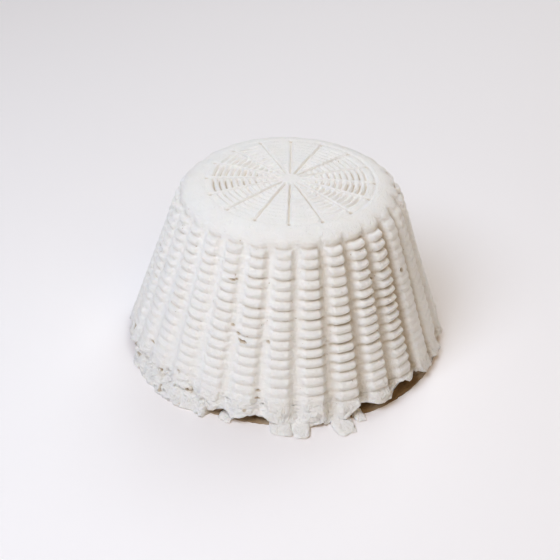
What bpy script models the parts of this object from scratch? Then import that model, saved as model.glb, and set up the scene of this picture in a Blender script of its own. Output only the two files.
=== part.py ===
"""A whole fresh ricotta turned out of its basket mould, standing on its wide end.

The drained curd is one solid. It keeps the print of the basket: on the wall, columns of short level
bars between smooth upright valleys, and on the top, rings crossed by spokes. The lower edge of the
wall is torn. Curd that was pressed out over the basket's rim lies against the foot as low skirts,
with a few loose curds stuck to it.

Metres, +Z up. The origin is the middle of the underside, on the surface that the cheese stands on.
The front is -Y, and angles round the cheese are in degrees from the front, growing towards +X.
"""

import math
import random

import bmesh
import bpy
from mathutils import Vector, noise

# Overall form
FOOT_RADIUS = 0.0900  # the wall's line carried down to the ground
TOP_RADIUS = 0.0584  # the wall's line carried up to the height of the top
HEIGHT = 0.0972
DOME = 0.0014  # the top's middle stands this much over its edge
SHOULDER_RADIUS = 0.0184
SHOULDER_START = 0.0505  # radius where the shoulder's own rows begin
SHOULDER_ROWS = 4

# Print of the basket's wall
COLUMNS = 28
COLUMN_TURN = math.radians(-1.8)  # where the column nearest the front stands
BAR_SHARE = 0.50  # of a column's pitch, the width of the bars
VALLEY_DEPTH = 0.0022
VALLEY_START = 0.0945  # height of the valleys' pointed upper ends
VALLEY_FULL = 0.0875  # height where they have come to their depth
VALLEY_END = 0.0100  # height where they start to fade into the foot
BARS = 16
BAR_PITCH = 0.00484
BAR_TOP_GROOVE = 0.0914  # height of the groove over the highest bar
BAR_DEPTH = 0.0012
BAR_LEAST_DEPTH_SHARE = 0.45
BAR_CREST_SHARE = 0.36  # of the pitch, how far over its lower groove a bar stands out most

# Print of the basket's bottom
SPOKES = 16
SPOKE_HALF_WIDTH = 0.0011
SPOKE_DEPTH = 0.0009
RINGS = 10
RING_OUTER_RADIUS = 0.0407
RING_PITCH = 0.00325
RING_DEPTH = 0.0008
RIM_GROOVE_RADIUS = 0.0455
RIM_GROOVE_DEPTH = 0.0007
DISC_RADIUS = 0.0474
HUB_RADIUS = 0.0050

# Foot, from the torn edge of the wall in to the flat underside
EDGE_HEIGHT = 0.0046
EDGE_WANDER = 0.0014
UNDERCUT_HEIGHT = 0.0026
UNDERCUT_RADIUS = 0.0852
UNDERSIDE_RADIUS = 0.0835
SKIRT_RISE = 0.0032  # how much higher a full skirt's crease with the wall is than the torn edge
# Places where the edge is broken away: degrees, half width in degrees, height of the break
BREAKS = (
    (-23.5, 4.0, 0.0034),
    (32.0, 6.5, 0.0040),
    (47.5, 6.0, 0.0074),
    (57.5, 5.0, 0.0068),
    (108.0, 7.0, 0.0036),
    (-96.0, 5.0, 0.0030),
    (-140.0, 6.0, 0.0044),
    (176.0, 7.0, 0.0032),
)
BREAK_RECESS = 0.0030
# Skirts of curd: degrees, half width in degrees, reach of the outer edge beyond the foot radius
SKIRTS = (
    (-46.0, 24.0, 0.0034),
    (82.0, 10.0, 0.0014),
    (138.0, 24.0, 0.0032),
    (-166.0, 14.0, 0.0026),
    (-116.0, 15.0, 0.0030),
)
SKIRT_RAGGEDNESS = 0.0014

# Loose curds at the foot: degrees, length round the foot, reach beyond the foot radius, height
CURDS = (
    (-21.0, 0.0080, -0.0008, 0.0034),
    (-1.6, 0.0125, 0.0056, 0.0056),
    (6.0, 0.0105, 0.0052, 0.0040),
    (21.2, 0.0120, 0.0060, 0.0050),
    (29.6, 0.0070, -0.0022, 0.0036),
    (118.0, 0.0110, 0.0038, 0.0046),
    (167.0, 0.0140, 0.0048, 0.0054),
    (185.0, 0.0085, 0.0026, 0.0038),
    (226.0, 0.0120, 0.0034, 0.0048),
    (259.0, 0.0100, 0.0040, 0.0042),
)
CURD_CENTRE_RADIUS = 0.0850
CURD_GROUND_GAP = 0.0003
CURD_ROUGHNESS = 0.25
CURD_LUMP_SIZE = 0.6  # of a curd, the size of its own lumps
CURD_MIDDLE_SHARE = 0.35  # of a curd's height, the height of its widest part

# Softness of the whole
SLUMP = 0.0006
SLUMP_WAVELENGTH = 0.045
HANDLING = 0.00025
HANDLING_WAVELENGTH = 0.009

SEED = 28
MERGE = 0.00001
CURD_COLOUR = (0.86, 0.845, 0.815, 1.0)
CURD_GLOSS_ROUGHNESS = 0.55
SHARP_FROM = math.radians(40)

# The wall's steps, in pitches from a column's middle: the edges of its bars, the middle of the valley
WALL_PHASES = (-BAR_SHARE / 2, BAR_SHARE / 2, 0.5)
WALL_STEPS = len(WALL_PHASES) * COLUMNS
# The disc's steps: the middle of a spoke, its edge, the middle of the field, the next spoke's edge
DISC_PHASES = 4
DISC_STEPS = DISC_PHASES * SPOKES


def clear_scene():
    for old in list(bpy.data.objects):
        bpy.data.objects.remove(old, do_unlink=True)


def smooth_step(low, high, value):
    share = min(1.0, max(0.0, (value - low) / (high - low)))
    return share * share * (3 - 2 * share)


def mix(first, second, share):
    return first + (second - first) * share


def place_at(degrees, radius, height):
    """The point at this angle from the front, radius and height."""
    turn = math.radians(degrees)
    return Vector((radius * math.sin(turn), -radius * math.cos(turn), height))


def bump(degrees, middle, half_width, flat_share):
    """1 near the middle angle, falling to 0 at half_width from it."""
    away = abs((degrees - middle + 180) % 360 - 180)
    return 1 - smooth_step(flat_share * half_width, half_width, away)


def wall_radius(height):
    """The radius of the wall's straight line at this height."""
    return mix(FOOT_RADIUS, TOP_RADIUS, height / HEIGHT)


def shoulder_centre():
    """Radius and height of the middle of the shoulder's arc, which is tangent to the wall and the top."""
    lean = math.atan2(FOOT_RADIUS - TOP_RADIUS, HEIGHT)
    height = HEIGHT - SHOULDER_RADIUS
    return wall_radius(height) - SHOULDER_RADIUS / math.cos(lean), height


def top_height(radius):
    """Height of the plain top at this radius."""
    centre_radius, centre_height = shoulder_centre()
    past = max(0.0, radius - centre_radius)
    flat = centre_height + math.sqrt(SHOULDER_RADIUS**2 - past**2)
    return flat + DOME * max(0.0, 1 - (radius / DISC_RADIUS) ** 2)


def side_radius(height):
    """Radius of the plain side at this height, on the wall or on the shoulder's arc."""
    centre_radius, centre_height = shoulder_centre()
    lean = math.atan2(FOOT_RADIUS - TOP_RADIUS, HEIGHT)
    if height <= centre_height + SHOULDER_RADIUS * math.sin(lean):
        return wall_radius(height)
    return centre_radius + math.sqrt(SHOULDER_RADIUS**2 - (height - centre_height) ** 2)


def groove_height(bar):
    """Height of the groove under this bar. The groove over the highest bar is number 0."""
    return BAR_TOP_GROOVE - bar * BAR_PITCH


def side_rows():
    """The side's rows from the top down, as (kind, number of the groove, height)."""
    low, high = groove_height(-0.5), top_height(SHOULDER_START)
    rows = [("plain", 0, mix(high, low, row / (SHOULDER_ROWS - 1))) for row in range(SHOULDER_ROWS)]
    rows.append(("groove", 0, groove_height(0)))
    for bar in range(1, BARS + 1):
        rows.append(("plain", bar, groove_height(bar - BAR_CREST_SHARE)))
        rows.append(("groove", bar, groove_height(bar)))
    foot = (groove_height(BARS) + EDGE_HEIGHT) / 2, EDGE_HEIGHT, UNDERCUT_HEIGHT, 0.0
    return rows + [(kind, BARS, height) for kind, height in zip(("brow", "edge", "undercut", "ground"), foot)]


def disc_rows():
    """The disc's rows from its middle out, as (depth of the groove there, radius)."""
    rows = [(0.0, 0.0), (0.0, HUB_RADIUS)]
    for ring in reversed(range(RINGS)):
        groove = RING_OUTER_RADIUS - ring * RING_PITCH
        rows += [(RING_DEPTH, groove), (0.0, groove + RING_PITCH / 2)]
    return rows + [(RIM_GROOVE_DEPTH, RIM_GROOVE_RADIUS), (0.0, DISC_RADIUS)]


def turned(name, outline, steps):
    """The open mesh that an outline of (radius, height) points, from top to bottom, sweeps round Z."""
    mesh = bpy.data.meshes.new(name)
    points = [(radius, 0.0, height) for radius, height in outline]
    mesh.from_pydata(points, [(i, i + 1) for i in range(len(points) - 1)], [])
    profile = bpy.data.objects.new(name, mesh)
    bpy.context.scene.collection.objects.link(profile)
    screw = profile.modifiers.new("turn", "SCREW")
    screw.axis = "Z"
    screw.angle = math.tau
    screw.steps = screw.render_steps = steps
    screw.use_merge_vertices = True
    screw.merge_threshold = MERGE
    graph = bpy.context.evaluated_depsgraph_get()
    swept = bpy.data.meshes.new_from_object(profile.evaluated_get(graph))
    bpy.data.objects.remove(profile, do_unlink=True)
    return swept


def step_of(point, steps):
    """Which of the sweep's steps this point lies on, with step 0 at the front."""
    return round(math.atan2(point.x, -point.y) / math.tau * steps) % steps


def nearest(rows, value):
    """The row whose last entry is nearest to this value."""
    return min(rows, key=lambda row: abs(row[-1] - value))


def softness(point):
    """How far the curd has slumped out, or been pressed in, at this point."""
    slump = noise.noise(point / SLUMP_WAVELENGTH)
    handling = noise.noise(point / HANDLING_WAVELENGTH)
    return SLUMP * slump + HANDLING * handling


def skirt_at(degrees):
    """How full the skirt is here, 0 to 1, and the reach of its ragged edge beyond the foot radius."""
    share, reach = 0.0, 0.0
    for middle, half_width, full_reach in SKIRTS:
        here = bump(degrees, middle, half_width, 0.6)
        if here > share:
            share, reach = here, full_reach
    ragged = noise.noise(place_at(degrees, 8.0, SEED))
    return share, reach + SKIRT_RAGGEDNESS * ragged


def foot_place(kind, degrees, height):
    """Radius and height of the foot's row of this kind, at this angle."""
    broken = max(high * bump(degrees, middle, half, 0.4) for middle, half, high in BREAKS)
    recess = BREAK_RECESS * min(1.0, broken / BREAK_RECESS)
    skirt, reach = skirt_at(degrees)
    wander = EDGE_WANDER * noise.noise(place_at(degrees, 7.0, 0.0))
    edge_height = EDGE_HEIGHT + wander + broken + SKIRT_RISE * skirt
    if kind == "brow":
        height = (groove_height(BARS) + edge_height) / 2
        return wall_radius(height), height
    if kind == "edge":
        return wall_radius(edge_height), edge_height
    if kind == "undercut":
        return mix(UNDERCUT_RADIUS - recess, FOOT_RADIUS + reach, skirt), height
    return mix(UNDERSIDE_RADIUS - recess, FOOT_RADIUS + reach - UNDERCUT_HEIGHT / 2, skirt), 0.0


def print_wall(mesh):
    """Presses the basket's wall into the side, and tears the foot."""
    rng = random.Random(SEED)
    depths = [[rng.uniform(BAR_LEAST_DEPTH_SHARE, 1.0) for _ in range(BARS + 1)] for _ in range(COLUMNS)]
    rows = side_rows()
    for vertex in mesh.vertices:
        kind, bar, height = nearest(rows, vertex.co.z)
        column, phase = divmod(step_of(vertex.co, WALL_STEPS), len(WALL_PHASES))
        degrees = math.degrees(COLUMN_TURN + (column + WALL_PHASES[phase]) * math.tau / COLUMNS)
        if kind in ("plain", "groove"):
            radius = side_radius(height)
        else:
            radius, height = foot_place(kind, degrees, height)
        if phase == len(WALL_PHASES) - 1:
            begun = 1 - smooth_step(VALLEY_FULL, VALLEY_START, height)
            radius -= VALLEY_DEPTH * begun * smooth_step(0.0, VALLEY_END, height)
        elif kind == "groove":
            radius -= BAR_DEPTH * depths[column][bar]
        if kind != "ground":
            radius += softness(place_at(degrees, radius, height))
        vertex.co = place_at(degrees, radius, height)


def print_disc(mesh):
    """Presses the basket's bottom into the top."""
    rows = disc_rows()
    pitch = math.tau / SPOKES
    for vertex in mesh.vertices:
        depth, radius = nearest(rows, vertex.co.xy.length)
        spoke, phase = divmod(step_of(vertex.co, DISC_STEPS), DISC_PHASES)
        edge = min(SPOKE_HALF_WIDTH / max(radius, HUB_RADIUS), pitch / DISC_PHASES)
        turn = spoke * pitch + (0.0, edge, pitch / 2, pitch - edge)[phase]
        if radius == DISC_RADIUS:
            turn = (spoke + phase / DISC_PHASES) * pitch
        elif phase == 0 and HUB_RADIUS <= radius < RIM_GROOVE_RADIUS:
            depth = SPOKE_DEPTH
        place = place_at(math.degrees(turn), radius, top_height(radius))
        place.z += softness(place) - depth
        vertex.co = place


def cheese_body():
    """The printed body as one closed object."""
    side = turned("side", [(side_radius(height), height) for _, _, height in side_rows()], WALL_STEPS)
    print_wall(side)
    disc = turned("disc", [(radius, top_height(radius)) for _, radius in disc_rows()], DISC_STEPS)
    print_disc(disc)
    bm = bmesh.new()
    bm.from_mesh(side)
    bm.from_mesh(disc)
    for used in (side, disc):
        bpy.data.meshes.remove(used)
    upper = [edge for edge in bm.edges if edge.is_boundary and edge.verts[0].co.z > HEIGHT / 2]
    bmesh.ops.bridge_loops(bm, edges=upper)
    bmesh.ops.holes_fill(bm, edges=[edge for edge in bm.edges if edge.is_boundary], sides=0)
    bmesh.ops.recalc_face_normals(bm, faces=bm.faces)
    mesh = bpy.data.meshes.new("ricotta")
    bm.to_mesh(mesh)
    bm.free()
    return bpy.data.objects.new("ricotta", mesh)


def loose_curd(name, degrees, length, reach, height):
    """A squashed, rough lump that lies against the foot, a hair over the ground."""
    bm = bmesh.new()
    bmesh.ops.create_icosphere(bm, subdivisions=2, radius=1.0)
    deep = FOOT_RADIUS + reach - CURD_CENTRE_RADIUS
    outward = place_at(degrees, 1.0, 0.0)
    along = Vector((-outward.y, outward.x, 0.0))
    for vertex in bm.verts:
        lumpy = 1 + CURD_ROUGHNESS * noise.noise(vertex.co / CURD_LUMP_SIZE + outward * SEED)
        out, side, up = vertex.co * lumpy
        place = outward * (CURD_CENTRE_RADIUS + deep * out) + along * (length / 2 * side)
        place.z = max(CURD_GROUND_GAP, height * mix(CURD_MIDDLE_SHARE, 1.0, up))
        vertex.co = place
    mesh = bpy.data.meshes.new(name)
    bm.to_mesh(mesh)
    bm.free()
    return bpy.data.objects.new(name, mesh)


def join_curds(body):
    """Joins the loose curds to the body, so that the cheese stays one solid."""
    curds = bpy.data.collections.new("curds")
    bpy.context.scene.collection.children.link(curds)
    for index, sizes in enumerate(CURDS):
        curds.objects.link(loose_curd(f"curd_{index:02d}", *sizes))
    union = body.modifiers.new("curds", "BOOLEAN")
    union.operation = "UNION"
    union.operand_type = "COLLECTION"
    union.collection = curds
    union.solver = "EXACT"
    graph = bpy.context.evaluated_depsgraph_get()
    joined = bpy.data.meshes.new_from_object(body.evaluated_get(graph))
    body.modifiers.clear()
    body.data = joined
    for curd in list(curds.objects):
        bpy.data.objects.remove(curd, do_unlink=True)
    bpy.data.collections.remove(curds)


def fresh_curd():
    material = bpy.data.materials.new("fresh_curd")
    material.use_nodes = True
    shader = material.node_tree.nodes["Principled BSDF"]
    shader.inputs["Base Color"].default_value = CURD_COLOUR
    shader.inputs["Roughness"].default_value = CURD_GLOSS_ROUGHNESS
    shader.inputs["Metallic"].default_value = 0.0
    return material


def main():
    clear_scene()
    cheese = bpy.data.collections.new("ricotta")
    bpy.context.scene.collection.children.link(cheese)
    body = cheese_body()
    cheese.objects.link(body)
    join_curds(body)
    body.data.materials.clear()
    body.data.materials.append(fresh_curd())
    body.data.shade_smooth()
    body.data.set_sharp_from_angle(angle=SHARP_FROM)


main()
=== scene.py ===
"""Dresses a whole fresh ricotta that was turned out of its basket mould.

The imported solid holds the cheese's size and place. Its fine skin is made here: the basket's print is
pressed into a turned profile by Geometry Nodes, and then the foot is torn, the skin is pitted, and
curds and crumbs are laid against it. Metres, +Z up, front at -Y. Angles round the cheese are degrees
from the front, growing towards +X, and heights are over the surface that the cheese stands on.
"""

import logging
import math
import random
from dataclasses import dataclass, field
from enum import Enum
from typing import Any, Callable, ClassVar, Iterable, Mapping, Optional, Union

import bmesh
import bpy
import numpy as np
from mathutils import Matrix, Vector, noise

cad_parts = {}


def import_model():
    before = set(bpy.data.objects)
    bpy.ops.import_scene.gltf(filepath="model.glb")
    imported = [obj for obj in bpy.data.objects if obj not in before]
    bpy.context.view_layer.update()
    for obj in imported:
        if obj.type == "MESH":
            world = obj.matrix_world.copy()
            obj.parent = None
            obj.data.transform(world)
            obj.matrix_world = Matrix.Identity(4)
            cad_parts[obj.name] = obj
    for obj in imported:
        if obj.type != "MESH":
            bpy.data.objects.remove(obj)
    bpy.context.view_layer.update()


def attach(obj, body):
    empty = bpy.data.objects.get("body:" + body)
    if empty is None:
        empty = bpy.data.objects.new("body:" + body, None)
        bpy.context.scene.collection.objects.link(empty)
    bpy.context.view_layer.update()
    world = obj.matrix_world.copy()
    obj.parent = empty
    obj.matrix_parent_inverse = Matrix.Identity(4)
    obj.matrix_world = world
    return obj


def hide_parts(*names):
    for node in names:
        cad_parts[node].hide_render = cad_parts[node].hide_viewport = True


NODE = "ricotta"
BODY = "root"
SEED = 28
# The skin's seam and its two middles are closed within this distance
MERGE = 0.00001
MM = 0.001
# Numbers for rows of the skin that have no bar, and for rows that aren't on the foot
OFF_WALL = -2.0
OFF_FOOT = -1.0
# How much finer each layer of a craggy noise is than the one before it
FINER_BY = 2.1

# Where something eases in, or the least and the most of something
Span = tuple[float, float]
Rows = tuple[tuple[float, ...], ...]
Rgb = tuple[float, float, float]

log = logging.getLogger("ricotta")


class PrintDraw(Enum):
    """The print's random draws, each with a seed of its own."""

    BAR = 1
    SPOKE = 2
    RING = 3


class CrumbDraw(Enum):
    """The crumbs' random draws, each with a seed of its own."""

    SIZE = 1
    FLATNESS = 2
    TURN = 3


def smooth_step(low: float, high: float, value: float) -> float:
    """Eases a value from 0 at low to 1 at high.

    Args:
        low: where the result is 0.
        high: where the result is 1.
        value: the number to ease.

    Returns:
        A number from 0 to 1.
    """
    share = min(1.0, max(0.0, (value - low) / (high - low)))
    return share * share * (3 - 2 * share)


def mix(first: float, second: float, share: float) -> float:
    """Returns the number that lies this share of the way from first to second."""
    return first + (second - first) * share


def place_at(degrees: float, radius: float, height: float) -> Vector:
    """Returns the point at this angle from the front, radius and height."""
    turn = math.radians(degrees)
    return Vector((radius * math.sin(turn), -radius * math.cos(turn), height))


def in_metres(*rows: tuple[float, ...]) -> Rows:
    """Turns rows of degrees and then millimetres into rows of degrees and metres."""
    return tuple((degrees, *(size * MM for size in sizes)) for degrees, *sizes in rows)


def away_from(degrees: float, middle: float) -> float:
    """Returns how far an angle lies from another, from -180 to 180 degrees."""
    return (degrees - middle + 180) % 360 - 180


def bump_at(degrees: float, middle: float, half_width: float, flat_share: float) -> float:
    """Weighs how near an angle is to the middle of a stretch of the foot.

    Args:
        degrees: the angle asked about.
        middle: the stretch's middle.
        half_width: how far from its middle the stretch ends.
        flat_share: the share of the half width that has full weight.

    Returns:
        1 near the middle, falling to 0 at the stretch's ends.
    """
    return 1 - smooth_step(flat_share * half_width, half_width, abs(away_from(degrees, middle)))


def crags(place: Vector, octaves: int = 4, dimension: float = 1.0) -> float:
    """Returns a craggy noise round 0, with lumps about 1 apart and finer ones on them."""
    return noise.fractal(place, dimension, FINER_BY, octaves)


def placed(name: str, data: bpy.types.ID) -> bpy.types.Object:
    """Returns a new object with this data, in the scene."""
    made = bpy.data.objects.new(name, data)
    bpy.context.scene.collection.objects.link(made)
    return made


def keep_numbers(mesh: bpy.types.Mesh, name: str, numbers: Iterable[float]) -> None:
    """Keeps a number for each of a mesh's points under a name."""
    mesh.attributes.new(name, "FLOAT", "POINT").data.foreach_set("value", numbers)


def sign(operation: str, swapped: bool = False) -> Callable[["Wire", "Value"], "Wire"]:
    """Makes the method for one of a wire's arithmetic signs.

    Args:
        operation: what its Math node works out.
        swapped: whether the wire stands to the right of the sign.

    Returns:
        The method.
    """

    def method(wire: "Wire", other: "Value") -> "Wire":
        """Adds the sign's Math node and returns its wire."""
        pair = (other, wire) if swapped else (wire, other)
        return wire.graph.math(operation, *pair)

    return method


class Wire:
    """A socket of a node tree that takes part in arithmetic, adding its Math nodes as it goes."""

    def __init__(self, graph: "Graph", socket: bpy.types.NodeSocket) -> None:
        """Keeps the socket and the graph that it belongs to."""
        self.graph = graph
        self.socket = socket

    __add__ = sign("ADD")
    __radd__ = sign("ADD", swapped=True)
    __sub__ = sign("SUBTRACT")
    __rsub__ = sign("SUBTRACT", swapped=True)
    __mul__ = sign("MULTIPLY")
    __rmul__ = sign("MULTIPLY", swapped=True)
    __truediv__ = sign("DIVIDE")
    __rtruediv__ = sign("DIVIDE", swapped=True)
    __pow__ = sign("POWER")

    def __neg__(self) -> "Wire":
        """Returns self with its sign turned."""
        return self * -1.0


Value = Union[float, Wire]
Colour = Union[Rgb, Wire]


class Graph:
    """Adds nodes to one tree, of a material or of Geometry Nodes."""

    def __init__(self, tree: bpy.types.NodeTree) -> None:
        """Keeps the tree."""
        self.tree = tree

    def node(
        self,
        kind: str,
        settings: Optional[Mapping[str, Any]] = None,
        sockets: Optional[Mapping[Union[str, int], Any]] = None,
    ) -> bpy.types.Node:
        """Adds one node.

        Args:
            kind: the node's type.
            settings: the node's own properties, set before its sockets.
            sockets: values or wires for its inputs, by name or by number.

        Returns:
            The node.
        """
        made = self.tree.nodes.new(kind)
        for name, value in (settings or {}).items():
            setattr(made, name, value)
        for key, value in (sockets or {}).items():
            if isinstance(value, Wire):
                self.tree.links.new(value.socket, made.inputs[key])
            else:
                made.inputs[key].default_value = value
        return made

    def wire(
        self,
        kind: str,
        settings: Optional[Mapping[str, Any]] = None,
        sockets: Optional[Mapping[Union[str, int], Any]] = None,
        output: Union[str, int] = 0,
    ) -> Wire:
        """Adds one node as node() does, and returns the wire of one of its outputs."""
        return Wire(self, self.node(kind, settings, sockets).outputs[output])

    def math(self, operation: str, *values: Value) -> Wire:
        """Adds a Math node for this operation on these values, and returns its wire."""
        return self.wire("ShaderNodeMath", {"operation": operation}, dict(enumerate(values)))

    def eased(self, value: Value, low: Value, high: Value) -> Wire:
        """Returns a wire that eases from 0 where value is low to 1 where it is high."""
        return self.wire(
            "ShaderNodeMapRange",
            {"interpolation_type": "SMOOTHSTEP"},
            {"Value": value, "From Min": low, "From Max": high},
        )

    def nearest(self, value: Wire) -> Wire:
        """Returns a wire of the nearest whole number."""
        return self.math("FLOOR", value + 0.5)

    def size_of(self, value: Wire) -> Wire:
        """Returns a wire of the value without its sign."""
        return self.math("ABSOLUTE", value)

    def held(self, value: Value) -> Wire:
        """Returns a wire of the value, kept between 0 and 1."""
        return self.math("MINIMUM", self.math("MAXIMUM", value, 0.0), 1.0)

    def from_least(self, least: Value, share: Wire) -> Wire:
        """Returns a wire that goes from least to 1 as the share goes from 0 to 1."""
        return least + (1 - least) * share

    def point(self, across: Value, along: Value, up: Value) -> Wire:
        """Returns a wire of the point with these three coordinates."""
        return self.wire("ShaderNodeCombineXYZ", sockets={"X": across, "Y": along, "Z": up})

    def colour_mix(self, share: Value, first: "Colour", second: "Colour") -> Wire:
        """Returns a wire that goes from the first colour to the second as the share goes from 0 to 1."""
        ends = {6: first, 7: second}
        sockets = {key: end if isinstance(end, Wire) else (*end, 1.0) for key, end in ends.items()}
        return self.wire("ShaderNodeMix", {"data_type": "RGBA"}, {0: share, **sockets}, 2)

    def turned(self, turn: Wire, radius: Wire, height: Wire) -> Wire:
        """Returns a wire of the point at this turn from the front, radius and height."""
        ahead = radius * self.math("COSINE", turn)
        return self.point(radius * self.math("SINE", turn), -ahead, height)

    def chance(self, first: Value, second: Value, draw: PrintDraw) -> Wire:
        """Returns a wire with its own even random share, 0 to 1, for each pair of whole numbers."""
        pair = self.point(first, second, draw.value)
        return self.wire("ShaderNodeTexWhiteNoise", sockets={"Vector": pair})

    def luck(self, least: Value, draw: CrumbDraw) -> Wire:
        """Returns a wire with an even random number, from least to 1, for each point."""
        sockets = {2: least, 3: 1.0, "Seed": draw.value}
        return self.wire("FunctionNodeRandomValue", {"data_type": "FLOAT"}, sockets, 1)

    def noise(self, place: Wire, size: float, detail: float = 2.0) -> Wire:
        """Adds a noise on a place.

        Args:
            place: the wire of the place, in metres.
            size: the size of the noise's lumps, in metres.
            detail: how many finer layers lie on it.

        Returns:
            A wire of numbers round 0, from about -1 to 1.
        """
        sockets = {"Vector": place, "Scale": 1 / size, "Detail": detail}
        return self.wire("ShaderNodeTexNoise", {"noise_dimensions": "3D"}, sockets) * 2 - 1


@dataclass(frozen=True)
class Spot:
    """Where a point of the skin's grid lies, as wires of the recipe.

    The side is the sine of the point's angle from the front, so it is 1 at the right and -1 at the left.
    """

    radius: Wire
    height: Wire
    bar: Wire
    foot: Wire
    out: Wire
    up: Wire
    turn: Wire
    side: Wire
    column: Wire
    sideways: Wire
    on_wall: Wire
    place: Wire


class FootRow(Enum):
    """The foot's key rows, from the lowest bar in to the ground."""

    BAR = 0
    BROW = 1
    EDGE = 2
    UNDERCUT = 3
    GROUND = 4


@dataclass(frozen=True)
class Form:
    """The plain form of the cheese, as it was before the print and the tears."""

    foot_radius: float = 90.0 * MM
    top_radius: float = 58.4 * MM
    height: float = 97.2 * MM
    dome: float = 1.4 * MM
    shoulder_radius: float = 18.4 * MM
    disc_radius: float = 47.4 * MM

    def wall_radius(self, height: float) -> float:
        """Returns the radius of the wall's straight line at this height."""
        return mix(self.foot_radius, self.top_radius, height / self.height)

    def lean(self) -> float:
        """Returns the wall's lean from upright, in radians."""
        return math.atan2(self.foot_radius - self.top_radius, self.height)

    def shoulder_centre(self) -> tuple[float, float]:
        """Returns the radius and height of the middle of the shoulder's arc."""
        height = self.height - self.shoulder_radius
        return self.wall_radius(height) - self.shoulder_radius / math.cos(self.lean()), height

    def top_height(self, radius: float) -> float:
        """Returns the height of the plain top at this radius."""
        centre_radius, centre_height = self.shoulder_centre()
        past = max(0.0, radius - centre_radius)
        flat = centre_height + math.sqrt(self.shoulder_radius**2 - past**2)
        return flat + self.dome * max(0.0, 1 - (radius / self.disc_radius) ** 2)

    def side_radius(self, height: float) -> float:
        """Returns the radius of the plain side at this height, on the wall or the shoulder."""
        centre_radius, centre_height = self.shoulder_centre()
        if height <= centre_height + self.shoulder_radius * math.sin(self.lean()):
            return self.wall_radius(height)
        return centre_radius + math.sqrt(self.shoulder_radius**2 - (height - centre_height) ** 2)


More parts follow.
